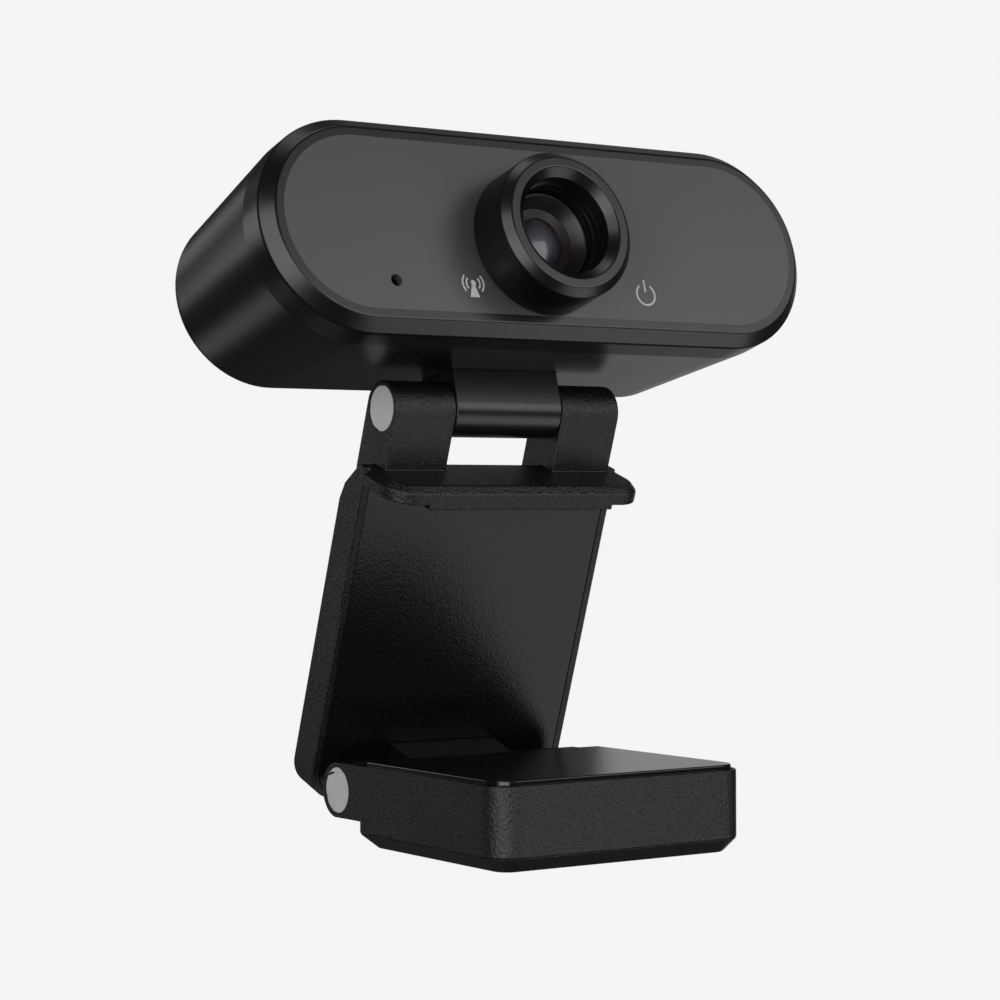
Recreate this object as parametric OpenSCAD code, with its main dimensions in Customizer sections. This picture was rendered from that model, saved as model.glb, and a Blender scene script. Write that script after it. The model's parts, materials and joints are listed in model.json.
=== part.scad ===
// Small video-call camera on a folding clip stand.
// A pill-shaped head tilts on a pin between the two ears of a flat arm. The arm has a ledge
// that hooks over the top of a screen, and it folds on a second pin down onto a thick foot.
// Units are millimetres, +Z is up and the camera looks along -Y.

/* [Head] */
// Width of the camera head
head_w = 100; // [84:1:130]
// Height of the camera head
head_h = 33.6; // [32:0.2:44]
// Depth of the head behind the front edge of its side band
head_depth = 34; // [32:0.5:44]
// Depth of the bezel's side band
band = 4.6; // [3.5:0.1:7]
// Inset of the bezel's front chamfer
bezel_chamfer = 1.9; // [1:0.1:2.4]
// Rise of that chamfer, from the band to the flat rim
rim_rise = 2; // [1.6:0.1:3]
// Width of the flat rim round the panel
rim_flat = 1.35; // [0.8:0.05:1.8]
// Narrowing of the rear case on each side
rear_taper = 2.3; // [0.5:0.1:3]
// Rounding of the rear edge
rear_round = 2.8; // [2:0.1:5]
// Wall thickness of the head's shells
wall = 1.8; // [1.4:0.1:2.2]
// Thickness of the front panel
panel_t = 1.5; // [1:0.1:2]
// Upward pitch of the head as it stands
head_pitch = 16; // [0:1:30]

/* [Lens] */
// Sideways place of the lens from the middle of the panel
lens_x = -3.1; // [-6:0.1:6]
// Height of the lens from the middle of the panel
lens_up = -1.8; // [-2:0.1:2]
// Outer diameter of the focus ring
ring_d = 23.4; // [22.6:0.1:24]
// How far the focus ring stands in front of the panel
ring_proud = 9; // [7:0.5:12]
// Inset and depth of the focus ring's outer bevel
ring_bevel = 1.25; // [0.6:0.05:1.6]
// Diameter of the focus ring's bore
ring_bore_d = 15.4; // [15.2:0.1:16]
// Diameter of the lens barrel's head
barrel_d = 14.3; // [13.6:0.1:14.4]
// Depth of the barrel's front face behind the front of the focus ring
barrel_sunk = 6.2; // [4:0.1:6.6]
// Thread diameter of the lens barrel
thread_d = 12; // [11:0.1:12]
// Focus travel of the lens each way
focus_travel = 0.25; // [0.1:0.05:0.4]

/* [Arm] */
// Width of the arm and of its ledge
arm_w = 47.6; // [44:0.2:60]
// Thickness of the arm
arm_t = 6.1; // [5:0.1:8]
// Distance along the arm from the tilt pin to the foot pin
pin_span = 59.7; // [56:0.1:80]
// Forward lean of the arm as it stands
arm_lean = 19.4; // [5:0.1:25]
// Distance from the tilt pin's axis forward to the arm's front face
arm_front = 2.8; // [2:0.1:4]
// Rounding of the arm's lower corners
arm_round = 5; // [3:0.5:8]
// Distance from the foot pin down to the arm's lower end
arm_tail = 4.8; // [4.4:0.1:6]
// Distance from the tilt pin down to the top of the ledge
ledge_drop = 8.7; // [8.6:0.1:12]
// Reach of the ledge in front of the tilt pin's axis
ledge_reach = 12.4; // [10:0.1:18]
// Thickness of the ledge
ledge_t = 2.9; // [2.5:0.1:4]
// Width of the hooking lip under the ledge
lip_w = 34.4; // [20:0.2:38]
// Height of that lip
lip_h = 0.75; // [0.5:0.05:3]
// Width over the two ears
ear_w = 42.2; // [38:0.2:43.6]

/* [Hinges] */
// Radius of the ears, of the knuckles and of what turns between them
knuckle_r = 4.3; // [4.1:0.05:4.3]
// Width of the gap between the ears or knuckles
slot_w = 20.1; // [16:0.1:24]
// Diameter of the hinge pins
pin_d = 4; // [3:0.1:4.4]
// Diameter of the pins' round heads
pin_head_d = 7.2; // [6:0.1:7.4]
// Distance of the foot pin in front of the arm's front face
pin_offset = 6.7; // [6.4:0.1:9]

/* [Foot] */
// Width of the foot
foot_w = 45.8; // [42:0.2:60]
// Height of the foot without its pad
foot_h = 12.6; // [12.6:0.1:16]
// Distance from the foot pin to the foot's front face
foot_reach = 45.4; // [40:0.2:48]
// Distance from the foot pin to the foot's rear face
foot_back = 6.9; // [5.4:0.1:8]
// Rounding of the foot's front corners
foot_round = 4.6; // [3:0.1:8]
// Chamfer round the foot's underside, which is also the cover's thickness
foot_chamfer = 2.2; // [1.8:0.1:3]
// How far the foot's pad stands proud
pad_proud = 0.75; // [0.3:0.05:1]
// Diameter of the tripod screw's hole
tripod_d = 6.4; // [6.3:0.05:6.6]

/* [Hidden] */
$fn = 96;

// Gaps
running = 0.05;     // radial gap round a turning or sliding part
seam = 0.1;         // gap round a part that drops into a pocket
panel_gap = 0.02;   // gap round the front panel, which is pressed into its pocket
side_gap = 0.15;    // gap on each side of what turns between two ears
ring_gap = 0.15;    // gap between the focus ring and what it turns against

// Colours
plastic = [0.055, 0.055, 0.06];
panel_grey = [0.27, 0.27, 0.28];
steel = [0.62, 0.62, 0.64];
board_green = [0.05, 0.22, 0.12];

// The foot pin's height sits the knuckles' tops level with the foot's top
pin_z = foot_h - knuckle_r;
arm_back = arm_t - arm_front;
pin_n = arm_front + pin_offset;
arm_end = pin_span + arm_tail;

// The object is centred between the foot's front face and the arm's lower rear edge
rear_reach = (arm_back + pin_n) * cos(arm_lean) + arm_tail * sin(arm_lean);
pin_y = (foot_reach - rear_reach) / 2;
tilt_y = pin_y + pin_n * cos(arm_lean) - pin_span * sin(arm_lean);
tilt_z = pin_z + pin_n * sin(arm_lean) + pin_span * cos(arm_lean);
foot_front = pin_y - foot_reach;
foot_rear = pin_y - foot_back;
foot_mid = (foot_front + foot_rear) / 2;
foot_len = foot_rear - foot_front;

// Head, seen from its face: X across, Y up and Z out towards the viewer, with Z zero at
// the front edge of the side band
end_r = head_h / 2;
half = head_w / 2 - end_r;
axis_back = 20.7;                  // tilt axis behind the band's front edge
axis_drop = end_r + 4.3;           // tilt axis under the head's middle
panel_r = end_r - bezel_chamfer - rim_flat;
floor_top = rim_rise - panel_t;
floor_t = 1.6;
floor_back = floor_top - floor_t;
lip_t = 1.2;
lip_len = 2;
lip_gap = 0.3;                     // the rear case's taper narrows round the lip
post_r = 2.2;
post_at = [[-28, 8.5], [28, 8.5], [-23, -9], [23, -9]];
case_post_r = 2.8;
case_at = [for (x = [-1, 1], y = [-7, 7]) [x * (half + 2.8), y]];
screw_r = 0.95;
screw_head_r = 1.9;
screw_head_t = 1.3;
board_front = -15;
board_t = 1.2;
board_w = 64;
board_h = 23;
case_seat = 3.5;                   // depth of the case screws' counterbores
case_boss = 7;                     // height of the bosses on the rear wall

// Lens stack, all turned round the lens axis
ring_face = rim_rise + ring_proud;
barrel_front = ring_face - barrel_sunk;
spigot_r = 10;
mouth_flare = 1.25;
clip_t = 0.8;
clip_r = 11.2;
groove_r = 9.4;
spigot_end = floor_back - ring_gap - clip_t - 1.2;
lens_pocket_r = 5.35;
lens_bore_r = 4.6;
lens_curve = 9.9;                  // radius of the front lens's dome
barrel_head_t = 4.2;
barrel_end = board_front + 5.6;
holder_r = 7.1;
holder_top = barrel_front - barrel_head_t - focus_travel - 1.4;
sensor_t = 1.4;

// Icons and microphone on the panel
mic_at = [-29.6, -9];
mic_icon_at = [-16.2, -9.6];
power_icon_at = [15.9, -9.15];
icon_t = 0.5;
mic_hole_r = 0.93;
capsule_r = 2;
capsule_t = 1.5;
boot_len = 3.4;                    // rubber boot from the capsule up to the bezel's floor
guide_r = 2.4;

// Hinge pins and neck
pin_head_t = 1.5;
pin_sunk = 0.1;                    // depth of the pins' heads under the ears' faces
neck_half = slot_w / 2 - side_gap;
neck_flange_t = 2;
neck_flange_half = 17;
neck_screw_x = 14;
neck_boss_top = -end_r + rear_taper + wall + 0.4;
grommet_at = [0, -2];
grommet_r = 4;
washer_t = 0.5;
washer_r = 3.4;
washer_sink = washer_t + running - side_gap;

// Arm
arm_wall = 1.25;
skin = 1.8;
cover_t = 1.6;
pad_t = 0.8;
ledge_bevel = 1.1;
ledge_round = 5;
lip_t_n = 1.7;
tongue_half = slot_w / 2 - side_gap;
ledge_under = ledge_drop + ledge_t;
pad_top = ledge_under + 0.4;
pad_bottom = arm_end - arm_wall - seam;
arm_screw_at = [for (x = [-1, 1], s = [ledge_under + 8, pin_span - 12]) [x * (arm_w / 2 - 8), s]];
arm_screw_sunk = 0.9;

// Foot
foot_wall = 2;
pad_inset = 0.8;
pad_sink = 0.8;
insert_r = 5.5;
insert_low = 0.3;
insert_len = 8;
foot_post_r = 2.6;
foot_post_inset = 5.6;
foot_screw_at = [
    for (x = [-1, 1], y = [-1, 1])
        [x * (foot_w / 2 - foot_post_inset), foot_mid + y * (foot_len / 2 - foot_post_inset)]
];

// Places a child, drawn from the head's face, on the pitched head
module at_head() {
    translate([0, tilt_y, tilt_z]) rotate([-head_pitch, 0, 0])
        translate([0, -axis_back, axis_drop]) rotate([90, 0, 0]) children();
}

// Places a child drawn round the lens axis
module at_lens() at_head() translate([lens_x, lens_up, 0]) children();

// Places a child on the leaning arm: X across, -Y forward, -Z down from the tilt pin
module at_arm() translate([0, tilt_y, tilt_z]) rotate([arm_lean, 0, 0]) children();

// Solid with a stadium outline: a half profile turned round both end centres and drawn
// between them
module pill(reach = half) {
    for (x = [-reach, reach]) translate([x, 0, 0]) rotate_extrude() children();
    translate([-reach, 0, 0]) rotate([90, 0, 90]) linear_extrude(2 * reach) {
        children();
        mirror([1, 0]) children();
    }
}

// Round bar along X, centred on x = 0
module bar(r, len) rotate([0, 90, 0]) cylinder(r = r, h = len, center = true);

// Screw with a pan head that starts at z = 0 and a shank down -Z
module screw(len, r = screw_r, head_r = screw_head_r, head_t = screw_head_t) {
    translate([0, 0, -len]) cylinder(r = r, h = len);
    difference() {
        cylinder(r = head_r, h = head_t);
        for (a = [0, 90]) rotate(a) translate([-head_r * 0.6, -head_r * 0.11, head_t * 0.45])
            cube([head_r * 1.2, head_r * 0.22, head_t]);
    }
}

// Box from x0, y0, z0 to x1, y1, z1
module block(low, high) translate(low) cube(high - low);

// Cuts a rounded, chamfered corner off a box. It is drawn at the corner's centre, out
// towards +X and -Y; the chamfer, of height and inset c, is at the low end of height h
module corner_cut(r, c, h) {
    difference() {
        translate([0, -2 * r, -1]) cube([2 * r, 2 * r, h + 2]);
        if (c > 0) {
            cylinder(r1 = r - c, r2 = r, h = c);
            translate([0, 0, -1.5]) cylinder(r = r - c, h = 1.6);
        } else translate([0, 0, -1.5]) cylinder(r = r, h = 2);
        translate([0, 0, c]) cylinder(r = r, h = h + 2);
    }
}

// Wedges that chamfer, by c, the low edge of a block's side at +X or front at -Y
module side_wedge(c, len) rotate([90, 0, 0]) linear_extrude(len, center = true)
    polygon([[-c - 1, -1], [1, -1], [1, c + 1]]);

module front_wedge(c, len) rotate([90, 0, 90]) linear_extrude(len, center = true)
    polygon([[c + 1, -1], [-1, -1], [-1, c + 1]]);

// Foot block between two heights, inset on all sides, with a chamfer c at its lower edge
module foot_block(z0, z1, inset = 0, c = 0) {
    w = foot_w / 2 - inset;
    front = foot_front + inset;
    rear = foot_rear - inset;
    r = max(foot_round - inset, c + 0.6);
    difference() {
        block([-w, front, z0], [w, rear, z1]);
        for (m = [0, 1]) mirror([m, 0, 0]) {
            translate([w - r, front + r, z0]) corner_cut(r, c, z1 - z0);
            if (c > 0) translate([w, 0, z0]) side_wedge(c, 3 * foot_reach);
        }
        if (c > 0) {
            translate([0, front, z0]) front_wedge(c, 2 * foot_w);
            translate([0, rear, z0]) mirror([0, 1, 0]) front_wedge(c, 2 * foot_w);
        }
    }
}

// The two outer knuckles of a hinge, square to the block behind them
module knuckle_pair(width) {
    for (m = [0, 1]) mirror([m, 0, 0]) translate([slot_w / 2, 0, 0])
        rotate([0, 90, 0]) cylinder(r = knuckle_r, h = (width - slot_w) / 2);
}

// Bores for a headed pin and its cap through two outer knuckles
module pin_bores(width) {
    bar(pin_d / 2, width + 2);
    for (m = [0, 1]) mirror([m, 0, 0]) translate([width / 2 - pin_head_t - pin_sunk, 0, 0])
        rotate([0, 90, 0]) cylinder(r = pin_head_d / 2, h = 5);
}

// Hinge pin: a shaft with its head at -X; the cap closes the other end
module headed_pin(width) {
    seat = width / 2 - pin_head_t - pin_sunk;
    rotate([0, 90, 0]) translate([0, 0, -seat]) cylinder(r = pin_d / 2, h = 2 * seat - 1);
    rotate([0, 90, 0]) translate([0, 0, -seat - pin_head_t]) cylinder(r = pin_head_d / 2, h = pin_head_t);
}

module pin_cap(width) {
    seat = width / 2 - pin_head_t - pin_sunk;
    rotate([0, 90, 0]) translate([0, 0, seat]) cylinder(r = pin_head_d / 2, h = pin_head_t);
    rotate([0, 90, 0]) translate([0, 0, seat - 1]) cylinder(r = pin_d / 2, h = 1);
}

// Two friction washers, each half sunk into the end of what turns in the slot
module washer_pair() {
    for (m = [0, 1]) mirror([m, 0, 0]) translate([slot_w / 2 - washer_t, 0, 0]) rotate([0, 90, 0])
        difference() {
            cylinder(r = washer_r, h = washer_t);
            translate([0, 0, -1]) cylinder(r = pin_d / 2 + seam, h = washer_t + 2);
        }
}

// Bore and washer pockets cut in what turns in the slot
module turning_bores() {
    bar(pin_d / 2 + running, slot_w + 2);
    for (m = [0, 1]) mirror([m, 0, 0]) translate([neck_half - washer_sink, 0, 0])
        rotate([0, 90, 0]) cylinder(r = washer_r + seam, h = 3);
}

// ---- Foot ----

module foot_shell() color(plastic) {
    difference() {
        union() {
            difference() {
                foot_block(foot_chamfer, foot_h);
                foot_block(foot_chamfer - 1, foot_h - foot_wall - pad_sink, foot_wall);
                foot_block(foot_h - pad_sink, foot_h + 1, pad_inset - seam);
            }
            for (p = foot_screw_at) translate([p[0], p[1], foot_chamfer])
                cylinder(r = foot_post_r, h = foot_h - foot_wall - foot_chamfer);
            translate([0, pin_y, pin_z]) knuckle_pair(foot_w);
            for (m = [0, 1]) mirror([m, 0, 0])
                block([slot_w / 2, foot_rear - pad_inset / 2, pin_z - knuckle_r],
                      [foot_w / 2, pin_y, pin_z + knuckle_r]);
        }
        translate([0, pin_y, pin_z]) pin_bores(foot_w);
        for (p = foot_screw_at) translate([p[0], p[1], foot_chamfer - 1]) cylinder(r = screw_r, h = 7);
    }
}

module foot_cover() color(plastic) {
    difference() {
        foot_block(0, foot_chamfer, 0, foot_chamfer);
        translate([0, foot_mid, -1]) cylinder(r = insert_r + seam, h = foot_chamfer + 2);
        for (p = foot_screw_at) translate([p[0], p[1], -1]) {
            cylinder(r = screw_head_r + seam, h = 1 + screw_head_t + 0.1);
            cylinder(r = screw_r + seam, h = foot_chamfer + 2);
        }
    }
}

module foot_pad() color([0.12, 0.12, 0.125])
    foot_block(foot_h - pad_sink, foot_h + pad_proud, pad_inset);

module foot_weight() color(steel) {
    top = foot_h - foot_wall - pad_sink;
    reach = foot_w / 2 - 10.2;
    difference() {
        block([-reach, foot_mid - foot_len / 2 + 4, top - 5.6], [reach, foot_mid + foot_len / 2 - 4, top]);
        translate([0, foot_mid, 0]) cylinder(r = insert_r, h = foot_h);
    }
}

module tripod_insert() color([0.72, 0.58, 0.28]) translate([0, foot_mid, insert_low]) difference() {
    cylinder(r = insert_r, h = insert_len);
    translate([0, 0, -1]) cylinder(r = tripod_d / 2, h = insert_len + 2);
}

module foot_screws() color(steel) for (p = foot_screw_at)
    translate([p[0], p[1], screw_head_t + 0.1]) rotate([180, 0, 0]) screw(6);

module foot_pin() color(steel) translate([0, pin_y, pin_z]) headed_pin(foot_w);

module foot_pin_cap() color(steel) translate([0, pin_y, pin_z]) pin_cap(foot_w);

module foot_washers() color(steel) translate([0, pin_y, pin_z]) washer_pair();

// ---- Arm: Y is minus the distance forward, Z minus the distance down ----

// Slab of the arm, between two distances forward and two down, with rounded lower corners
module arm_slab(n0, n1, s0, s1, w, r) {
    difference() {
        block([-w / 2, -n1, -s1], [w / 2, -n0, -s0]);
        for (m = [0, 1]) mirror([m, 0, 0]) translate([w / 2 - r, -n0 + 1, -s1 + r]) difference() {
            translate([0, -(n1 - n0) - 2, -2 * r]) cube([2 * r, n1 - n0 + 2, 2 * r]);
            rotate([90, 0, 0]) translate([0, 0, -1]) cylinder(r = r, h = n1 - n0 + 4);
        }
    }
}

// Ledge plate with rounded front corners and a bevel round its upper edge
module ledge() {
    w = arm_w / 2;
    len = ledge_reach + arm_back;
    translate([0, arm_back, -ledge_drop]) mirror([0, 0, 1]) difference() {
        block([-w, -len, 0], [w, 0, ledge_t]);
        for (m = [0, 1]) mirror([m, 0, 0]) {
            translate([w - ledge_round, -len + ledge_round, 0]) corner_cut(ledge_round, ledge_bevel, ledge_t);
            translate([w, 0, 0]) side_wedge(ledge_bevel, 4 * len);
        }
        translate([0, -len, 0]) front_wedge(ledge_bevel, 2 * arm_w);
    }
}

// Sloping cut that takes the arm's upper rear edge down to the back face
module top_rear_cut() {
    rotate([90, 0, 90]) translate([0, 0, -arm_w]) linear_extrude(2 * arm_w) polygon([
        [-0.9, -ledge_drop], [2.5, -ledge_drop - 4.2], [arm_back + 0.01, -ledge_drop - 7],
        [arm_back + 9, -ledge_drop - 7], [arm_back + 9, 3], [-0.9, 3]
    ]);
}

module arm_shell() color(plastic) at_arm() {
    difference() {
        union() {
            difference() {
                union() {
                    arm_slab(-arm_back, arm_front, ledge_drop, arm_end, arm_w, arm_round);
                    ledge();
                }
                top_rear_cut();
                // hollow behind the cover, then the pocket of the cover and the pad
                arm_slab(-arm_back + skin, arm_front + 1, pad_top, pad_bottom + seam,
                         arm_w - 2 * arm_wall, arm_round - arm_wall);
            }
            // posts for the cover's screws
            for (p = arm_screw_at) translate([p[0], arm_back - skin + 0.5, -p[1]]) rotate([90, 0, 0])
                cylinder(r = 2.4, h = arm_t - skin + 0.5 - cover_t - pad_t);
            // lip
            block([-lip_w / 2, -ledge_reach, -ledge_under - lip_h],
                  [lip_w / 2, -ledge_reach + lip_t_n, -ledge_under + 0.5]);
            // ears: round tops on straight legs that run into the ledge
            knuckle_pair(ear_w);
            for (m = [0, 1]) mirror([m, 0, 0])
                block([slot_w / 2, -knuckle_r, -ledge_drop - 1], [ear_w / 2, knuckle_r, 0]);
            for (m = [0, 1]) mirror([m, 0, 0]) translate([slot_w / 2, 0, 0]) rotate([90, 0, 90])
                linear_extrude((ear_w - slot_w) / 2) polygon([
                    [0, -ledge_drop - 0.9], [knuckle_r, -ledge_drop - 0.9],
                    [knuckle_r, -ledge_drop - 2], [arm_back - 0.3, -ledge_drop - 7.5],
                    [arm_back - skin + 0.3, -ledge_drop - 7.5], [arm_back - skin + 0.3, -ledge_drop - 3],
                    [0, -ledge_drop - 3]
                ]);
            // tongue that turns between the foot's knuckles
            block([-tongue_half, -pin_n, -pin_span - knuckle_r],
                  [tongue_half, arm_back - 0.5, -pin_span + knuckle_r]);
            translate([0, -pin_n, -pin_span]) bar(knuckle_r, 2 * tongue_half);
        }
        pin_bores(ear_w);
        translate([0, -pin_n, -pin_span]) turning_bores();
        for (p = arm_screw_at) translate([p[0], 0, -p[1]]) rotate([90, 0, 0])
            translate([0, 0, -arm_back + skin]) cylinder(r = screw_r, h = arm_t);
        // pocket under the ledge for its pad
        ledge_pad_block(seam);
    }
}

// Rectangle of the ledge's pad, grown on its sides
module ledge_pad_block(grow) {
    w = lip_w / 2 + 1;
    block([-w - grow, -ledge_reach + lip_t_n + 0.4 - grow, -ledge_under - (grow > 0 ? 1 : 0)],
          [w + grow, -arm_front - 1.2 + grow, -ledge_under + 0.6]);
}

// Outline shared by the cover and the pad, cut round the tongue
module arm_inlay(n0, n1, gap) difference() {
    arm_slab(n0, n1, pad_top + gap, pad_bottom, arm_w - 2 * arm_wall - 2 * gap,
             arm_round - arm_wall - gap);
    block([-tongue_half - gap, -n1 - 1, -arm_end - 1],
          [tongue_half + gap, -n0 + 1, -pin_span + knuckle_r + gap]);
}

module arm_cover() color(plastic) at_arm() difference() {
    top = arm_front - pad_t;
    arm_inlay(top - cover_t, top, seam);
    for (p = arm_screw_at) translate([p[0], 0, -p[1]]) rotate([90, 0, 0]) {
        cylinder(r = screw_r + seam, h = arm_t);
        translate([0, 0, top - arm_screw_sunk]) cylinder(r = screw_head_r + seam, h = arm_t);
    }
}

module arm_pad() color([0.1, 0.1, 0.105]) at_arm() arm_inlay(arm_front - pad_t, arm_front, seam);

module ledge_pad() color([0.1, 0.1, 0.105]) at_arm() ledge_pad_block(0);

module arm_screws() color(steel) at_arm() for (p = arm_screw_at)
    translate([p[0], -arm_front + pad_t + arm_screw_sunk, -p[1]]) rotate([90, 0, 0])
        screw(2.4, screw_r, screw_head_r, arm_screw_sunk - 0.1);

module tilt_pin() color(steel) at_arm() headed_pin(ear_w);

module tilt_pin_cap() color(steel) at_arm() pin_cap(ear_w);

module tilt_washers() color(steel) at_arm() washer_pair();

// ---- Head shells, from the face frame ----

// Half profile of the rear case, inset by t
module rear_profile(t) {
    r = end_r - t;
    back = -head_depth + t;
    round = max(rear_round - t, 0.8);
    polygon([[0, -band], [r, -band], [r - rear_taper, back + round],
             [r - rear_taper - round, back + round], [r - rear_taper - round, back], [0, back]]);
    translate([r - rear_taper - round, back + round]) circle(r = round);
}

// Slot in the case's underside and the neck through it: height range, then growth
module neck_bar(v0, v1, grow) {
    block([-neck_half - grow, v0, -axis_back - knuckle_r - grow],
          [neck_half + grow, v1, -axis_back + knuckle_r + grow]);
}

module rear_case() color(plastic) at_head() {
    difference() {
        union() {
            difference() {
                pill() rear_profile(0);
                pill() rear_profile(wall);
                pill() translate([0, -band - 0.01]) square([end_r - wall, 0.1]);
            }
            for (p = case_at) translate([p[0], p[1], -head_depth + 0.5]) cylinder(r = 3.2, h = case_boss);
            intersection() {
                for (x = [-neck_screw_x, neck_screw_x]) translate([x, neck_boss_top, -axis_back])
                    rotate([90, 0, 0]) cylinder(r = 2.6, h = 6);
                pill() rear_profile(0.5);
            }
        }
        for (p = case_at) translate([p[0], p[1], -head_depth - 1]) {
            cylinder(r = screw_head_r + 0.2, h = case_seat + 1);
            cylinder(r = screw_r + seam, h = case_boss + 4);
        }
        neck_bar(-end_r - 1, 0, seam);
        for (x = [-neck_screw_x, neck_screw_x]) translate([x, neck_boss_top + 1, -axis_back])
            rotate([90, 0, 0]) cylinder(r = screw_r, h = 3.3);
        translate([grommet_at[0], grommet_at[1], -head_depth - 1]) cylinder(r = grommet_r, h = 5);
    }
}

// Holes through the bezel's floor for the two light guides
module guide_holes(r) for (p = [mic_icon_at, power_icon_at])
    translate([p[0], p[1], floor_back - 1]) cylinder(r = r, h = floor_t + 1.5);

module front_bezel() color(plastic) at_head() {
    lip_r = end_r - wall - lip_gap;
    lip_end = -band - lip_len;
    difference() {
        union() {
            difference() {
                pill() polygon([
                    [0, rim_rise], [end_r - bezel_chamfer, rim_rise], [end_r, 0], [end_r, -band],
                    [lip_r, -band], [lip_r, lip_end], [0, lip_end]
                ]);
                pill() translate([0, floor_top]) square([panel_r, panel_t + 1]);
                pill() translate([0, lip_end - 1]) square([lip_r - lip_t, floor_back - lip_end + 1]);
            }
            for (p = post_at) translate([p[0], p[1], board_front])
                cylinder(r = post_r, h = floor_back + 0.5 - board_front);
            for (p = case_at) translate([p[0], p[1], -head_depth + case_boss + 0.5])
                cylinder(r = case_post_r, h = head_depth - case_boss + floor_back);
        }
        for (p = post_at) translate([p[0], p[1], board_front - 1]) cylinder(r = screw_r, h = 6);
        for (p = case_at) translate([p[0], p[1], -head_depth + case_boss - 1]) cylinder(r = screw_r, h = 8);
        translate([lens_x, lens_up, floor_back - 1]) cylinder(r = spigot_r + running, h = floor_t + 2);
        translate([mic_at[0], mic_at[1], floor_back - 1]) cylinder(r = 1.4, h = floor_t + 2);
        guide_holes(guide_r + seam);
    }
}

// Radio-mast sign, and a ring with a bar, as flat outlines grown by g
module arc_stroke(r, width, from, to, g) intersection() {
    difference() {
        circle(r = r + width / 2 + g);
        circle(r = r - width / 2 - g);
    }
    polygon([[0, 0], 4 * r * [cos(from), sin(from)], 5 * r * [cos((from + to) / 2), sin((from + to) / 2)],
             4 * r * [cos(to), sin(to)]]);
}

module mast_outline(g = 0) {
    translate([0, 0.75]) {
        circle(r = 0.52 + g);
        for (r = [1.2, 1.85], m = [0, 1]) mirror([m, 0]) arc_stroke(r, 0.28, -42, 42, g);
    }
    polygon([[-0.26 - g, 0.6], [0.26 + g, 0.6], [0.85 + g, -1.45 - g], [-0.85 - g, -1.45 - g]]);
}

module power_outline(g = 0) {
    arc_stroke(1.72, 0.34, 125, 270, g);
    arc_stroke(1.72, 0.34, 270, 415, g);
    translate([-0.15 - g, 0.4 - g]) square([0.3 + 2 * g, 2 + 2 * g]);
}

module front_panel() color(panel_grey) at_head() difference() {
    pill() translate([0, floor_top]) square([panel_r - panel_gap, panel_t]);
    translate([lens_x, lens_up, floor_top - 1]) cylinder(r = spigot_r + 2 * running, h = panel_t + 2);
    translate([mic_at[0], mic_at[1], floor_top - 1]) cylinder(r = mic_hole_r, h = panel_t + 2);
    translate([mic_icon_at[0], mic_icon_at[1], rim_rise - icon_t]) linear_extrude(1) mast_outline(0.03);
    translate([power_icon_at[0], power_icon_at[1], rim_rise - icon_t]) linear_extrude(1) power_outline(0.03);
}

module microphone_icon() color([0.7, 0.7, 0.72]) at_head()
    translate([mic_icon_at[0], mic_icon_at[1], rim_rise - icon_t]) linear_extrude(icon_t) mast_outline();

module power_icon() color([0.7, 0.7, 0.72]) at_head()
    translate([power_icon_at[0], power_icon_at[1], rim_rise - icon_t]) linear_extrude(icon_t) power_outline();

// Clear rod from just above a light on the board to an icon's back, with a collar under the floor
module light_guide(p) translate([p[0], p[1], board_front + 1]) {
    cylinder(r = guide_r, h = floor_top - board_front - 1);
    cylinder(r = guide_r + 0.5, h = floor_back - seam - board_front - 1);
}

module microphone_light_guide() color([0.85, 0.85, 0.88]) at_head() light_guide(mic_icon_at);

module power_light_guide() color([0.85, 0.85, 0.88]) at_head() light_guide(power_icon_at);

// Neck: a bar up from the hinge barrel, and a flange screwed down inside the rear case
module neck() color(plastic) at_head() difference() {
    union() {
        neck_bar(-axis_drop, neck_boss_top + neck_flange_t, 0);
        translate([0, -axis_drop, -axis_back]) bar(knuckle_r, 2 * neck_half);
        block([-neck_flange_half, neck_boss_top, -axis_back - knuckle_r + 0.6],
              [neck_flange_half, neck_boss_top + neck_flange_t, -axis_back + knuckle_r - 0.6]);
    }
    translate([0, -axis_drop, -axis_back]) turning_bores();
    for (x = [-neck_screw_x, neck_screw_x]) translate([x, neck_boss_top + neck_flange_t + 1, -axis_back])
        rotate([90, 0, 0]) cylinder(r = screw_r + seam, h = neck_flange_t + 2);
}

module neck_screws() color(steel) at_head() for (x = [-neck_screw_x, neck_screw_x])
    translate([x, neck_boss_top + neck_flange_t, -axis_back]) rotate([-90, 0, 0]) screw(4);

module case_screws() color(steel) at_head() for (p = case_at)
    translate([p[0], p[1], -head_depth + case_seat]) rotate([180, 0, 0]) screw(9);

// ---- Electronics ----

module main_board() color(board_green) at_head() difference() {
    translate([-board_w / 2, -board_h / 2, board_front - board_t]) cube([board_w, board_h, board_t]);
    for (p = post_at) translate([p[0], p[1], board_front - 3]) cylinder(r = screw_r + seam, h = 4);
}

module board_screws() color(steel) at_head() for (p = post_at)
    translate([p[0], p[1], board_front - board_t]) rotate([180, 0, 0]) screw(5);

module image_processor() color([0.08, 0.08, 0.09]) at_head()
    translate([8, -4, board_front - board_t - 1]) cube([9, 9, 1]);

module shield_can() color(steel) at_head() difference() {
    block([6, -6, board_front - board_t - 2.4], [19, 7, board_front - board_t]);
    block([6.3, -5.7, board_front - board_t - 2.1], [18.7, 6.7, board_front - board_t + 1]);
}

module cable_header() color([0.85, 0.83, 0.76]) at_head() difference() {
    block([-18, -3, board_front - board_t - 4.5], [-8, 2, board_front - board_t]);
    block([-17.2, -2.2, board_front - board_t - 6], [-8.8, 1.2, board_front - board_t - 0.8]);
}

module status_leds() color([0.9, 0.9, 0.8]) at_head() for (p = [mic_icon_at, power_icon_at])
    translate([p[0] - 1, p[1] - 0.6, board_front]) cube([2, 1.2, 0.8]);

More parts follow.
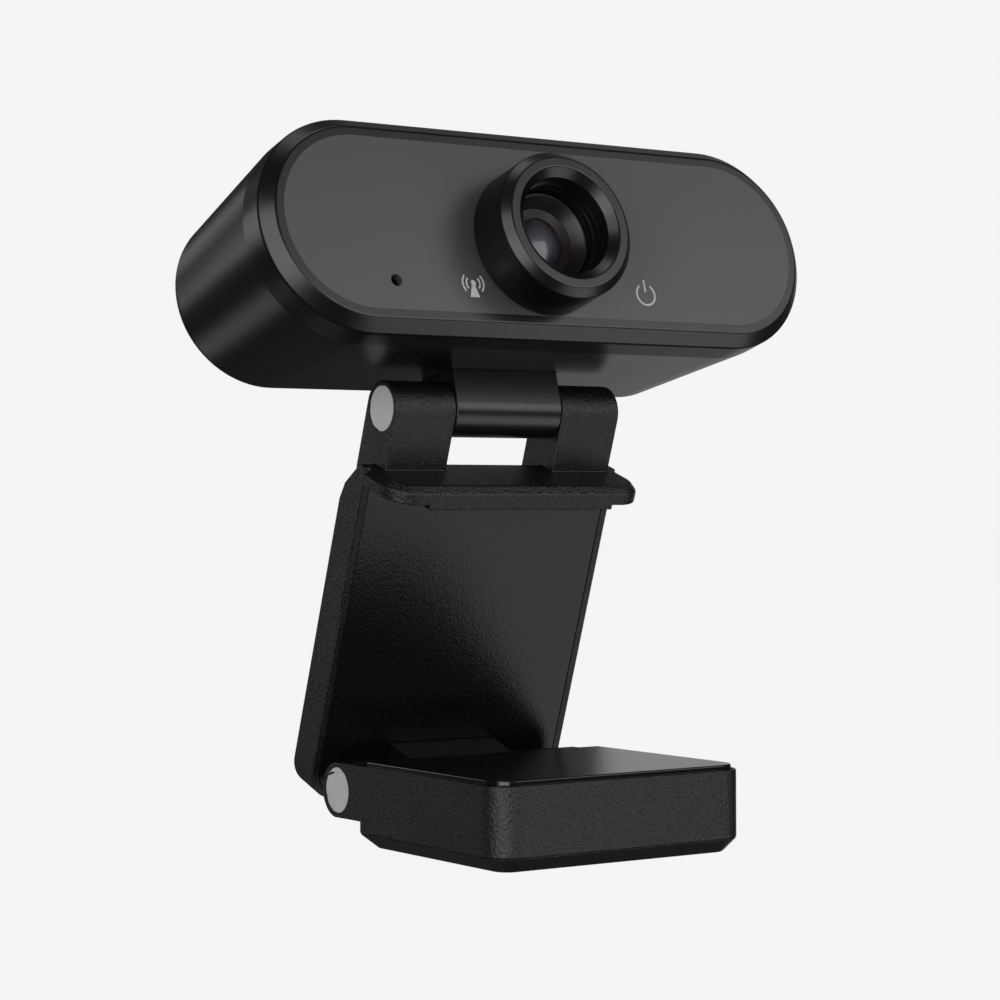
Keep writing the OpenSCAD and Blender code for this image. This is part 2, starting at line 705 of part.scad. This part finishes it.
module image_sensor() color([0.1, 0.1, 0.12]) at_head()
    translate([lens_x - 4, lens_up - 4, board_front]) cube([8, 8, sensor_t]);

module infrared_filter() color([0.75, 0.35, 0.35]) at_head()
    translate([lens_x - 4.2, lens_up - 4.2, board_front + 2]) cube([8.4, 8.4, 0.3]);

module at_microphone() at_head() translate([mic_at[0], mic_at[1], floor_back - boot_len]) children();

module microphone() color(steel) at_microphone() cylinder(r = capsule_r, h = capsule_t);

module microphone_boot() color([0.15, 0.15, 0.15]) at_microphone() difference() {
    cylinder(r = capsule_r + 1, h = boot_len);
    translate([0, 0, -1]) cylinder(r = capsule_r, h = capsule_t + 1);
    cylinder(r = 0.8, h = boot_len + 1);
}

module cable_grommet() color([0.09, 0.09, 0.09]) at_head()
    translate([grommet_at[0], grommet_at[1], -head_depth]) difference() {
        union() {
            translate([0, 0, -1.2]) cylinder(r1 = 4.4, r2 = 5, h = 1.2);
            cylinder(r = grommet_r, h = wall);
            translate([0, 0, wall]) cylinder(r = 5, h = 1.2);
        }
        translate([0, 0, -3]) cylinder(r = 1.8, h = wall + 6);
    }

// ---- Lens ----

module lens_holder() color(plastic) at_lens() difference() {
    union() {
        translate([0, 0, board_front]) cylinder(r = holder_r, h = holder_top - board_front);
        translate([-7.5, -7.5, board_front]) cube([15, 15, 3]);
    }
    translate([0, 0, board_front + 3]) cylinder(r = thread_d / 2 + running, h = 40);
    translate([0, 0, board_front + 1]) cylinder(r = 3.8, h = 4);
    translate([-5.2, -5.2, board_front - 1]) cube([10.4, 10.4, 3.3]);
}

module focus_ring() color(plastic) at_lens() {
    low = rim_rise + ring_gap;
    bore = ring_bore_d / 2;
    baffle = bore - 0.25;
    groove_top = floor_back - ring_gap;
    rotate_extrude() polygon([
        [spigot_r, groove_top], [spigot_r, low], [ring_d / 2, low], [ring_d / 2, ring_face - ring_bevel],
        [ring_d / 2 - ring_bevel, ring_face], [bore + mouth_flare, ring_face],
        [bore, ring_face - mouth_flare], [bore, ring_face - 3.7], [baffle, ring_face - 3.7],
        [baffle, spigot_end], [spigot_r, spigot_end], [spigot_r, groove_top - clip_t],
        [groove_r, groove_top - clip_t], [groove_r, groove_top]
    ]);
}

module ring_clip() color(steel) at_lens() translate([0, 0, floor_back - ring_gap - clip_t]) difference() {
    cylinder(r = clip_r, h = clip_t);
    translate([0, 0, -1]) cylinder(r = groove_r, h = clip_t + 2);
}

module drive_oring() color([0.1, 0.1, 0.1]) at_lens() translate([0, 0, barrel_front - 3]) difference() {
    cylinder(r = ring_bore_d / 2 - 0.25, h = 1);
    translate([0, 0, -1]) cylinder(r = barrel_d / 2 + running, h = 3);
}

module lens_barrel() color([0.04, 0.04, 0.045]) at_lens() rotate_extrude() polygon([
    [barrel_d / 2, barrel_front], [barrel_d / 2 - 0.35, barrel_front],
    [lens_pocket_r, barrel_front - 1.9], [lens_pocket_r, barrel_front - 3.4],
    [lens_bore_r, barrel_front - 3.4], [lens_bore_r, barrel_end], [thread_d / 2, barrel_end],
    [thread_d / 2, barrel_front - barrel_head_t], [barrel_d / 2, barrel_front - barrel_head_t]
]);

module lens_retainer() color([0.25, 0.08, 0.14]) at_lens() rotate_extrude() polygon([
    [lens_pocket_r, barrel_front - 1.9], [lens_pocket_r, barrel_front - 2.6],
    [4, barrel_front - 2.6], [4, barrel_front - 2.45]
]);

module front_lens() color([0.5, 0.6, 0.7, 0.5]) at_lens() {
    translate([0, 0, barrel_front - 3.4]) cylinder(r = 5.2, h = 0.8);
    intersection() {
        translate([0, 0, barrel_front - 1.8 - lens_curve]) sphere(r = lens_curve);
        translate([0, 0, barrel_front - 2.7]) cylinder(r = 3.9, h = 3);
    }
}

module rear_lens() color([0.5, 0.6, 0.7, 0.5]) at_lens() translate([0, 0, barrel_end + 0.5])
    cylinder(r = lens_bore_r, h = 2.4);

foot_shell();
foot_cover();
foot_pad();
foot_weight();
tripod_insert();
foot_screws();
foot_pin();
foot_pin_cap();
foot_washers();
arm_shell();
arm_cover();
arm_pad();
ledge_pad();
arm_screws();
tilt_pin();
tilt_pin_cap();
tilt_washers();
rear_case();
front_bezel();
front_panel();
neck();
neck_screws();
case_screws();
main_board();
board_screws();
image_processor();
shield_can();
cable_header();
status_leds();
image_sensor();
infrared_filter();
lens_holder();
microphone();
microphone_boot();
microphone_icon();
power_icon();
microphone_light_guide();
power_light_guide();
cable_grommet();
focus_ring();
ring_clip();
drive_oring();
lens_barrel();
lens_retainer();
front_lens();
rear_lens();
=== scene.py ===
import json
import math

import bmesh
import bpy
from mathutils import Matrix, Vector

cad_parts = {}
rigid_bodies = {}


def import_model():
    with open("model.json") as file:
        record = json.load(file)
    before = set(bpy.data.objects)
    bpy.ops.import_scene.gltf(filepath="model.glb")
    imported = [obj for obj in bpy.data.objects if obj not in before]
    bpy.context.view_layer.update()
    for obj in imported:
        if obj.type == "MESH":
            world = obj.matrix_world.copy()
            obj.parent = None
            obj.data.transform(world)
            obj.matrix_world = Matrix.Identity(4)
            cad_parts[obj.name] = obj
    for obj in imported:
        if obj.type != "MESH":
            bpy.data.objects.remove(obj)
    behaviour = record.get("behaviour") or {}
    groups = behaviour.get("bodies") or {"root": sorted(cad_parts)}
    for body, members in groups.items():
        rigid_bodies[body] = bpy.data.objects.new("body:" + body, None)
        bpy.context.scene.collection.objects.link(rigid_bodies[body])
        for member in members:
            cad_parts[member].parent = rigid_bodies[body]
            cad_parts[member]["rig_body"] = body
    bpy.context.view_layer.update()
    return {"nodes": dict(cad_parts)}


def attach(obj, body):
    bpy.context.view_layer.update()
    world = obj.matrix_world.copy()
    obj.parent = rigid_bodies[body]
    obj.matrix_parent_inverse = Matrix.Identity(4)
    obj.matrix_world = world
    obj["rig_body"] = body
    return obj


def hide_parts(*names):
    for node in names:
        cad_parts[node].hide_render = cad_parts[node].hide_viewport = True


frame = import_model()

# ---- Camera ----
# It stands in front of the object, towards its right-hand side and at half its height. It looks
# level past the arm, so the head is seen slightly from below.
CAMERA_PLACE = (-0.22547, -0.33170, 0.05197)
camera_data = bpy.data.cameras.new("camera")
camera_data.lens = 92.24
camera_data.sensor_width = 36
camera_data.clip_start = 0.01
camera = bpy.data.objects.new("camera", camera_data)
turn = Matrix.Rotation(math.radians(-33.905), 4, "Z")
nod = Matrix.Rotation(math.radians(0.237), 4, "X")
roll = Matrix.Rotation(math.radians(0.231), 4, "Y")
upright = Matrix.Rotation(math.radians(90), 4, "X")
camera.matrix_world = Matrix.Translation(CAMERA_PLACE) @ turn @ nod @ roll @ upright
bpy.context.scene.collection.objects.link(camera)
bpy.context.scene.camera = camera
bpy.context.scene.view_settings.view_transform = "Standard"


# ---- Studio ----
# A pale floor runs into a pale background of the same tone. The room itself is dim, so that dark
# plastics stay dark, and soft boxes give the broad highlights.
BACKDROP = 0.912
ROOM = 0.05
FLOOR_GLOW = 0.9
FLOOR_MATT = 0.04
FLOOR_RADIUS = 6
WHITE = (1, 1, 1, 1)


# Every look is written as sums on sockets. A wire holds one output socket, and an expression on
# wires adds the Math nodes it needs.
class Wire:
    def __init__(self, socket):
        self.socket = socket

    @classmethod
    def node(cls, tree, kind, settings=None, sockets=None, output=0):
        made = tree.nodes.new("ShaderNode" + kind)
        for name, value in (settings or {}).items():
            setattr(made, name, value)
        for name, value in (sockets or {}).items():
            if isinstance(value, Wire):
                tree.links.new(value.socket, made.inputs[name])
            else:
                made.inputs[name].default_value = value
        return cls(made.outputs[output])

    def sum(self, operation, first, second):
        return Wire.node(self.socket.id_data, "Math", {"operation": operation},
                         {0: first, 1: second})

    def __add__(self, other):
        return self.sum("ADD", self, other)

    def __sub__(self, other):
        return self.sum("SUBTRACT", self, other)

    def __rsub__(self, other):
        return self.sum("SUBTRACT", other, self)

    def __mul__(self, other):
        return self.sum("MULTIPLY", self, other)

    __radd__ = __add__
    __rmul__ = __mul__


# What the camera sees past the floor is the backdrop, and what lights the object is the dim room
world = bpy.data.worlds.new("studio")
world.use_nodes = True
tree = world.node_tree
tree.nodes.clear()
seen = Wire.node(tree, "LightPath")
backdrop = Wire.node(tree, "Background", sockets={"Color": WHITE, "Strength": BACKDROP})
room = Wire.node(tree, "Background", sockets={"Color": WHITE, "Strength": ROOM})
sky = Wire.node(tree, "MixShader", sockets={0: seen, 1: room, 2: backdrop})
tree.links.new(sky.socket, tree.nodes.new("ShaderNodeOutputWorld").inputs["Surface"])
bpy.context.scene.world = world

floor_mesh = bpy.data.meshes.new("floor")
disc = bmesh.new()
bmesh.ops.create_circle(disc, cap_ends=True, segments=96, radius=FLOOR_RADIUS)
disc.to_mesh(floor_mesh)
disc.free()
floor = bpy.data.objects.new("floor", floor_mesh)
bpy.context.scene.collection.objects.link(floor)
floor_look = bpy.data.materials.new("floor")
floor_look.use_nodes = True
tree = floor_look.node_tree
tree.nodes.clear()
glow = Wire.node(tree, "Emission", sockets={"Color": WHITE, "Strength": FLOOR_GLOW})
matt = Wire.node(tree, "BsdfDiffuse", sockets={"Color": (FLOOR_MATT, FLOOR_MATT, FLOOR_MATT, 1)})
surface = Wire.node(tree, "AddShader", sockets={0: glow, 1: matt})
tree.links.new(surface.socket, tree.nodes.new("ShaderNodeOutputMaterial").inputs["Surface"])
floor_mesh.materials.append(floor_look)
floor.visible_diffuse = False
floor.visible_glossy = False
floor.visible_shadow = False


# A soft box looks at the middle of the object, and radiance is how bright a mirror would show it
OBJECT_MIDDLE = Vector((0, 0, 0.06))


def soft_box(name, place, size, radiance):
    data = bpy.data.lights.new(name, "AREA")
    data.shape = "RECTANGLE"
    data.size, data.size_y = size
    data.energy = radiance * math.pi * size[0] * size[1]
    light = bpy.data.objects.new(name, data)
    away = Vector(place) - OBJECT_MIDDLE
    aim = away.to_track_quat("Z", "Y").to_matrix().to_4x4()
    light.matrix_world = Matrix.Translation(place) @ aim
    bpy.context.scene.collection.objects.link(light)


soft_box("front_right", (0.57, -1.04, 0.44), (1.05, 0.7), 2.5)
soft_box("front_left", (-0.92, -0.88, -0.02), (1.05, 0.8), 3.4)
soft_box("low_front", (0.72, -0.78, -0.66), (0.9, 0.62), 1.55)
soft_box("rear_right", (0.98, 0.85, -0.1), (0.58, 0.9), 0.42)
soft_box("rear_high", (0.75, 0.85, 0.75), (0.9, 0.5), 0.2)
soft_box("overhead", (0.1, 0.1, 1.3), (0.7, 0.5), 1.5)
soft_box("left_strip", (-0.72, 1.2, 0.2), (0.3, 0.45), 2.0)
soft_box("left_side", (-1.1, -0.5, 0.6), (0.5, 0.5), 3.6)
soft_box("rear_middle", (-0.07, 1.35, 0.42), (0.3, 0.22), 0.65)
soft_box("rear_low", (-0.45, 1.08, -0.62), (0.35, 0.25), 0.95)
soft_box("under", (0.05, 0.6, -1.0), (0.6, 0.4), 0.2)


# ---- Foot ----
# A thick block moulded in black grained plastic. Its two knuckles at the rear take the folding pin,
# its top has a pocket for a soft pad, and a screwed cover closes it below.
MERGED = 0.000002
IN_ONE_PLANE = math.radians(0.5)
SHARP_SHELL = math.radians(32)
SHARP_TURNED = math.radians(40)


# Puts a finished mesh on its body
def shown(name, work, look, rides):
    mesh = bpy.data.meshes.new(name)
    work.to_mesh(mesh)
    work.free()
    mesh.materials.append(look)
    piece = bpy.data.objects.new(name, mesh)
    bpy.context.scene.collection.objects.link(piece)
    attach(piece, rides)
    return piece


# The shells are used as they were made, with their edges broken: moulds and cutters leave small
# radii that catch the light. A copy of the shell is merged, and its sharp edges are rounded where
# keep allows it. A radius of 0 leaves them sharp, and flatten first joins faces in one plane.
def broken_edges(node, radius, look, steps=2, keep=None, flatten=False):
    source = frame["nodes"][node]
    shell = bmesh.new()
    shell.from_mesh(source.data)
    bmesh.ops.remove_doubles(shell, verts=shell.verts, dist=MERGED)
    if flatten:
        bmesh.ops.dissolve_limit(shell, angle_limit=IN_ONE_PLANE, verts=shell.verts,
                                 edges=shell.edges)
    weight = shell.edges.layers.float.new("bevel_weight_edge")
    for edge in shell.edges:
        sharp = edge.calc_face_angle(0) > SHARP_SHELL
        middle = (edge.verts[0].co + edge.verts[1].co) / 2
        rounded = radius > 0 and sharp and (keep is None or keep(middle))
        edge[weight] = 1 if rounded else 0
        edge.smooth = rounded or not sharp
    for side in shell.faces:
        side.smooth = True
    piece = shown(node + "_shown", shell, look, source["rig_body"])
    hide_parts(node)
    if "custom_normal" in piece.data.attributes:
        piece.data.attributes.remove(piece.data.attributes["custom_normal"])
    edges = piece.modifiers.new("edges", "BEVEL")
    edges.width = radius
    edges.segments = steps
    edges.limit_method = "WEIGHT"
    edges.use_clamp_overlap = False
    edges.harden_normals = True


# A look begins as an empty Principled material with its Object coordinates
def new_look(name):
    look = bpy.data.materials.new(name)
    look.use_nodes = True
    tree = look.node_tree
    return look, tree, tree.nodes["Principled BSDF"], Wire.node(tree, "TexCoord", output=3)


# Links what varies, and sets what doesn't
def set_look(body, **values):
    for name, value in values.items():
        socket = body.inputs[name.replace("_", " ").title().replace("Ior", "IOR")]
        if isinstance(value, Wire):
            body.id_data.links.new(value.socket, socket)
        else:
            socket.default_value = value


def noise(tree, place, scale, detail, rough=0.5):
    return Wire.node(tree, "TexNoise", sockets={
        "Vector": place, "Scale": scale, "Detail": detail, "Roughness": rough})


def tint(tree, amount, dark, light):
    return Wire.node(tree, "Mix", {"data_type": "RGBA"},
                     {0: amount, 6: (*dark, 1), 7: (*light, 1)}, output=2)


def relief(tree, height, depth):
    return Wire.node(tree, "Bump", sockets={"Height": height, "Strength": 1, "Distance": depth})


# Moulded plastic with a spark-eroded grain: small flat-topped bumps, grain apart and depth high in
# metres, with a slower change in sheen where the mould is worn. Its colour runs from dark in the
# pits to light on the crests of the bumps, a painted shade and a painted glint.
BUMP_SHARE = 0.65
GRAIN_FOOT = 0.42
GRAIN_TOP = 0.72
WEAR_SCALE = 55


def moulded(name, dark, light, grain, depth, rough, spread=0.08, **more):
    look, tree, body, place = new_look(name)
    bumps = noise(tree, place, 1 / grain, 3, 0.6)
    cells = Wire.node(tree, "TexVoronoi", {"feature": "SMOOTH_F1"},
                      {"Vector": place, "Scale": 0.8 / grain})
    wear = noise(tree, place, WEAR_SCALE, 4)
    height = bumps * BUMP_SHARE + (1 - cells) * (1 - BUMP_SHARE)
    # Painted shade and glint: the pits of the grain are coloured darker and its crests lighter
    grain_pit_shade_and_crest_glint = Wire.node(tree, "MapRange", sockets={0: height, 1: GRAIN_FOOT, 2: GRAIN_TOP})
    set_look(body, base_color=tint(tree, grain_pit_shade_and_crest_glint, dark, light), normal=relief(tree, height, depth),
             roughness=rough + (wear - 0.5) * spread + (bumps - 0.5) * spread, **more)
    return look


grained = moulded("grained_black", (0.0012, 0.0012, 0.0013), (0.014, 0.014, 0.0147),
                  grain=0.00028, depth=0.00019, rough=0.3)
FOOT_PIN = Vector((0, 0.015866, 0.0083))
KNUCKLE_EDGE = 0.0046


# The knuckles fit close round the pin, so their rims stay sharp
def outside_knuckle(point):
    return (Vector((0, point.y, point.z)) - FOOT_PIN).length > KNUCKLE_EDGE


broken_edges("foot_shell", 0.00026, grained, keep=outside_knuckle, flatten=True)
broken_edges("foot_cover", 0.0002, grained, flatten=True)

pad_black = moulded("pad_black", (0.0025, 0.0025, 0.0026), (0.005, 0.005, 0.0052),
                    grain=0.00025, depth=0.00001, rough=0.17, spread=0.04)
broken_edges("foot_pad", 0.00025, pad_black, flatten=True)


# Metal with a fine drawn or blasted tooth, and cloudy changes in polish
POLISH_SCALE = 300
POLISH_SPREAD = 0.16


def metal(name, dark, light, tooth, rough, depth=0.000004, metallic=1):
    look, tree, body, place = new_look(name)
    grit = noise(tree, place, 1 / tooth, 2)
    cloud = noise(tree, place, POLISH_SCALE, 4)
    set_look(body, base_color=tint(tree, grit * 0.5 + cloud * 0.5, dark, light), metallic=metallic,
             roughness=rough + (cloud - 0.5) * POLISH_SPREAD, normal=relief(tree, grit, depth))
    return look


# Inside the foot a sawn steel block gives it its weight, and a turned brass insert takes the screw
# of a tripod. Four zinc-plated screws hold the cover.
sawn_steel = metal("sawn_steel", (0.28, 0.27, 0.26), (0.42, 0.41, 0.4), 0.0004, 0.45, depth=0.00001)
broken_edges("foot_weight", 0.0003, sawn_steel)
turned_brass = metal("turned_brass", (0.62, 0.42, 0.17), (0.8, 0.58, 0.27), 0.0002, 0.28)
broken_edges("tripod_insert", 0.0003, turned_brass)


# Numbers corners or faces by where they are, because a spin leaves them in no fixed order
def number(parts, where):
    for index, part in enumerate(sorted(parts, key=where)):
        part.index = index
    parts.sort()


# A turned piece: a closed profile of radius and height, spun about the axis of place
def turned(name, profile, place, look, rides):
    work = bmesh.new()
    ring = [work.verts.new((radius, 0, height)) for radius, height in profile]
    loop = [work.edges.new((ring[i - 1], ring[i])) for i in range(len(ring))]
    bmesh.ops.spin(work, geom=ring + loop, cent=(0, 0, 0), axis=(0, 0, 1), dvec=(0, 0, 0),
                   angle=math.tau, steps=72, use_merge=True, use_duplicate=False)
    bmesh.ops.transform(work, matrix=place, verts=work.verts)
    number(work.verts, lambda corner: corner.co[:])
    number(work.faces, lambda side: sorted(corner.index for corner in side.verts))
    bmesh.ops.recalc_face_normals(work, faces=work.faces)
    for side in work.faces:
        side.smooth = True
    for edge in work.edges:
        edge.smooth = edge.calc_face_angle(0) < SHARP_TURNED
    shown(name, work, look, rides)


# The thread of the insert is a quarter of an inch across its roots, with twenty turns to the inch
PITCH = 0.00127
THREAD_WALL = 0.0034
THREAD_ROOT = 0.0032
THREAD_CREST = 0.0029
THREAD_START = 0.0012
INSERT_LOW = 0.0008
INSERT_HIGH = 0.0078
INSERT_PLACE = Matrix.Translation((0, -0.010284, 0))
thread = [(THREAD_WALL, INSERT_LOW)]
for groove in range(5):
    low = THREAD_START + groove * PITCH
    thread += [(THREAD_ROOT, low), (THREAD_CREST, low + PITCH * 0.45),
               (THREAD_CREST, low + PITCH * 0.55), (THREAD_ROOT, low + PITCH)]
thread.append((THREAD_WALL, INSERT_HIGH))
turned("insert_thread", thread, INSERT_PLACE, turned_brass, "foot")

zinc_plate = metal("zinc_plate", (0.5, 0.5, 0.49), (0.68, 0.68, 0.66), 0.00025, 0.3)
broken_edges("foot_screws", 0.00008, zinc_plate)

# ---- Arm ----
# One grained moulding carries the ears, the hooked ledge and the tongue. A screwed cover strip and
# a leather-grained soft pad fill the pocket in its front face. Another pad lies under the ledge.
TILT_PIN = Matrix.Translation((0, 0.004997, 0.067766))
ARM_LEAN = math.radians(19.4)
arm_plane = TILT_PIN @ Matrix.Rotation(ARM_LEAN, 4, "X")
PIN_EDGE = 0.0039
POCKET_HALF = 0.0229
POCKET_TOP = -0.0115
POCKET_LOW = -0.0634
FRONT_FACE = -0.0030
POCKET_FLOOR = 0.0018


# The rims round the tilt pin and inside the pocket meet other pieces, so they stay sharp
def outside_pocket(point):
    near = arm_plane.inverted() @ point
    if math.hypot(near.y, near.z) < PIN_EDGE:
        return False
    return (abs(near.x) > POCKET_HALF or not POCKET_LOW < near.z < POCKET_TOP
            or not FRONT_FACE < near.y < POCKET_FLOOR)


broken_edges("arm_shell", 0.00022, grained, keep=outside_pocket)
broken_edges("arm_cover", 0.0001, grained)
pad_leather = moulded("pad_leather", (0.002, 0.002, 0.0021), (0.005, 0.005, 0.0053),
                      grain=0.0004, depth=0.00006, rough=0.25, spread=0.05, specular_ior_level=0.27)
broken_edges("arm_pad", 0.00012, pad_leather)
broken_edges("ledge_pad", 0.00015, pad_black)
broken_edges("arm_screws", 0.00006, zinc_plate)

# ---- Hinge pins ----
# Turned steel pins with flat heads that sit flush in the ears, blasted to a light matt grey.
# Stamped spring washers beside the knuckles give the hinges their drag.
blasted_steel = metal("blasted_steel", (0.53, 0.53, 0.535), (0.7, 0.7, 0.705), 0.0002, 0.5,
                      depth=0.00002, metallic=0.1)
for pin in ("foot_pin", "foot_pin_cap", "tilt_pin", "tilt_pin_cap"):
    broken_edges(pin, 0.00018, blasted_steel)
stamped_steel = metal("stamped_steel", (0.42, 0.42, 0.43), (0.6, 0.6, 0.6), 0.0003, 0.32)
for washers in ("foot_washers", "tilt_washers"):
    broken_edges(washers, 0.00008, stamped_steel)

# ---- Head shells ----
# The rear case and the bezel are smooth satin black mouldings, and the neck between the ears is the
# same. The bezel's flat rim frames a dark grey panel that is pressed in flush.
HEAD_TILT = math.radians(-16)
PANEL_FROM_PIN = (0, -0.0207, 0.0211)
head_plane = (TILT_PIN @ Matrix.Rotation(HEAD_TILT, 4, "X") @ Matrix.Translation(PANEL_FROM_PIN)
              @ Matrix.Rotation(math.radians(90), 4, "X"))
END_CENTRE = 0.0332
PANEL_EDGE = 0.0137
BEZEL_REAR = -0.0046
SEAM_CLEAR = 1.05


# The bezel's rims beside the panel and at the rear case are tight seams, so they stay sharp
def outside_panel(point):
    near = head_plane.inverted() @ point
    across = math.hypot(max(abs(near.x) - END_CENTRE, 0), near.y)
    return across > PANEL_EDGE and near.z > BEZEL_REAR / 2


def behind_seam(point):
    return (head_plane.inverted() @ point).z < SEAM_CLEAR * BEZEL_REAR


satin = moulded("satin_black", (0.002, 0.002, 0.0022), (0.0042, 0.0042, 0.0045),
                grain=0.00012, depth=0.000004, rough=0.3, spread=0.05)
broken_edges("rear_case", 0.00025, satin, keep=behind_seam, flatten=True)
broken_edges("front_bezel", 0.00028, satin, keep=outside_panel)
broken_edges("neck", 0.00022, satin)
broken_edges("neck_screws", 0.00006, zinc_plate)
broken_edges("case_screws", 0.00008, zinc_plate)

panel_grey = moulded("panel_grey", (0.056, 0.056, 0.057), (0.064, 0.064, 0.065),
                     grain=0.0001, depth=0.000003, rough=0.36, spread=0.04)
broken_edges("front_panel", 0, panel_grey)

# The two signs on the panel are light diffusing windows, each fed by a small lamp on the board
# through a clear acrylic rod. They do not glow here, and their light grey is partly their own tone
# and partly a painted highlight, raised to the brightness of the lit edges of the signs. A rubber
# boot holds the microphone behind its hole.
icon_grey_with_painted_highlight = moulded("icon_grey_with_painted_highlight", (0.45, 0.45, 0.45), (0.62, 0.62, 0.62),
                    grain=0.0002, depth=0.000006, rough=0.4)
broken_edges("microphone_icon", 0.00003, icon_grey_with_painted_highlight)
broken_edges("power_icon", 0.00003, icon_grey_with_painted_highlight)
acrylic = moulded("acrylic", (0.62, 0.64, 0.66), (0.8, 0.82, 0.84),
                  grain=0.0006, depth=0.000004, rough=0.12, spread=0.04, transmission_weight=0.6)
broken_edges("microphone_light_guide", 0.00015, acrylic)
broken_edges("power_light_guide", 0.00015, acrylic)
rubber = moulded("rubber", (0.008, 0.008, 0.008), (0.016, 0.016, 0.016),
                 grain=0.00025, depth=0.000015, rough=0.6, spread=0.1)
broken_edges("microphone_boot", 0.0002, rubber)
broken_edges("cable_grommet", 0.0004, rubber, steps=3)
broken_edges("microphone", 0.00015, stamped_steel)

# ---- Electronics ----
# A green four-layer board on four posts carries the lens holder and the sensor in front. The chip,
# its pressed shield and the cable's nylon header are soldered on the back.
look, tree, body, place = new_look("solder_mask")
traces = Wire.node(tree, "TexBrick", {"offset": 0.37, "squash": 1.7}, {
    "Vector": place, "Scale": 420, "Mortar Size": 0.03,
    "Color1": (0, 0, 0, 1), "Color2": (0, 0, 0, 1), "Mortar": WHITE})
weave = noise(tree, place, 2500, 2)
set_look(body, base_color=tint(tree, traces, (0.008, 0.06, 0.025), (0.03, 0.13, 0.05)),
         roughness=0.3 + (weave - 0.5) * 0.12, normal=relief(tree, traces, 0.00003))
broken_edges("main_board", 0.0001, look)
broken_edges("board_screws", 0.00006, zinc_plate)
epoxy = moulded("epoxy", (0.012, 0.012, 0.013), (0.03, 0.03, 0.03),
                grain=0.00015, depth=0.000008, rough=0.5)
broken_edges("image_processor", 0.0001, epoxy)
tinned = metal("tinned", (0.55, 0.55, 0.54), (0.72, 0.72, 0.7), 0.0005, 0.35, depth=0.000006)
broken_edges("shield_can", 0.00015, tinned)
nylon = moulded("nylon", (0.62, 0.58, 0.46), (0.74, 0.7, 0.58),
                grain=0.0003, depth=0.000008, rough=0.42)
broken_edges("cable_header", 0.00012, nylon)
phosphor = moulded("phosphor", (0.75, 0.72, 0.4), (0.9, 0.86, 0.5),
                   grain=0.0002, depth=0.000006, rough=0.35)
broken_edges("status_leds", 0.00008, phosphor)

# The sensor's window lies under a thin filter that blocks infrared light and looks pink from the
# side. The lens holder covers them both.
look, tree, body, place = new_look("sensor")
wells = Wire.node(tree, "TexVoronoi", {"feature": "F1"}, {"Vector": place, "Scale": 1500})
sheen = noise(tree, place, 220, 3)
set_look(body, roughness=0.15 + sheen * 0.15, metallic=0.6,
         base_color=tint(tree, wells * 0.5 + sheen * 0.5, (0.02, 0.02, 0.05), (0.08, 0.12, 0.2)))
broken_edges("image_sensor", 0.0001, look)
look, tree, body, place = new_look("filter_glass")
sheen = noise(tree, place, 180, 3)
set_look(body, base_color=tint(tree, sheen, (0.35, 0.1, 0.12), (0.6, 0.25, 0.25)),
         roughness=0.03 + sheen * 0.05, transmission_weight=0.5)
broken_edges("infrared_filter", 0.00005, look)
broken_edges("lens_holder", 0.00015, satin)

# ---- Focus ring and lens ----
# A satin black ring stands off the panel and turns on a wire clip behind it. Its rubber ring
# drives the small lens barrel, which holds a retaining ring, a domed front lens and a rear one.
LENS_PLACE = Vector((-0.0031, -0.0018, 0))
BORE_RIM = 0.0083


# The step in the bore stays sharp
def outside_bore(point):
    near = head_plane.inverted() @ point - LENS_PLACE
    return math.hypot(near.x, near.y) > BORE_RIM


broken_edges("focus_ring", 0.0002, satin, keep=outside_bore)

# Four soft ridges in the bore stop light that glances off its wall
BORE_WALL = 0.0076
BORE_LOW = 0.0012
BORE_HIGH = 0.0066
RIDGE_ROOT = 0.00745
RIDGE_TIP = 0.00728
RIDGE_START = 0.0014
RIDGE_SPACING = 0.0013
TIP_START = 0.0004
TIP_END = 0.0007
RIDGE_WIDTH = 0.0011
ridges = [(BORE_WALL, BORE_LOW)]
for ridge in range(4):
    low = RIDGE_START + ridge * RIDGE_SPACING
    ridges += [(RIDGE_ROOT, low), (RIDGE_TIP, low + TIP_START),
               (RIDGE_TIP, low + TIP_END), (RIDGE_ROOT, low + RIDGE_WIDTH)]
ridges.append((BORE_WALL, BORE_HIGH))
turned("bore_ridges", ridges, head_plane @ Matrix.Translation(LENS_PLACE), satin, "ring")
broken_edges("ring_clip", 0.0001, stamped_steel)
broken_edges("drive_oring", 0.0002, rubber)

anodised = moulded("anodised_black", (0.008, 0.008, 0.009), (0.014, 0.014, 0.015),
                   grain=0.0002, depth=0.000006, rough=0.34, spread=0.06)
broken_edges("lens_barrel", 0.00008, anodised)
retainer_red = moulded("retainer_red", (0.01, 0.005, 0.007), (0.028, 0.011, 0.016),
                       grain=0.0002, depth=0.00001, rough=0.3)
broken_edges("lens_retainer", 0.00005, retainer_red)

# Painted reflection: the front lens is coloured a lighter blue-grey at its apex that fades to a
# dark reddish tone towards its rim, standing in for the light its coating reflects
APEX_HEIGHT = 0.0029
REFLECTION_BLUE_TO = 0.0012
REFLECTION_RED_FROM = 0.0042
look, tree, body, place = new_look("coated_glass")
apex = head_plane @ (LENS_PLACE + Vector((0, 0, APEX_HEIGHT)))
away = Wire.node(tree, "VectorMath", {"operation": "DISTANCE"}, {0: place, 1: apex}, output=1)
painted_reflection_fade = Wire.node(tree, "MapRange", {"interpolation_type": "SMOOTHSTEP"},
                {0: away, 1: REFLECTION_BLUE_TO, 2: REFLECTION_RED_FROM})
dust = noise(tree, place, 900, 4)
# The painted reflection: blue-grey at the apex, dark reddish towards the rim
set_look(body, base_color=tint(tree, painted_reflection_fade, (0.075, 0.085, 0.1), (0.02, 0.012, 0.018)),
         roughness=0.2 + dust * 0.1, coat_weight=0.35, coat_roughness=0.06)
broken_edges("front_lens", 0.00005, look)
broken_edges("rear_lens", 0.0002, look)
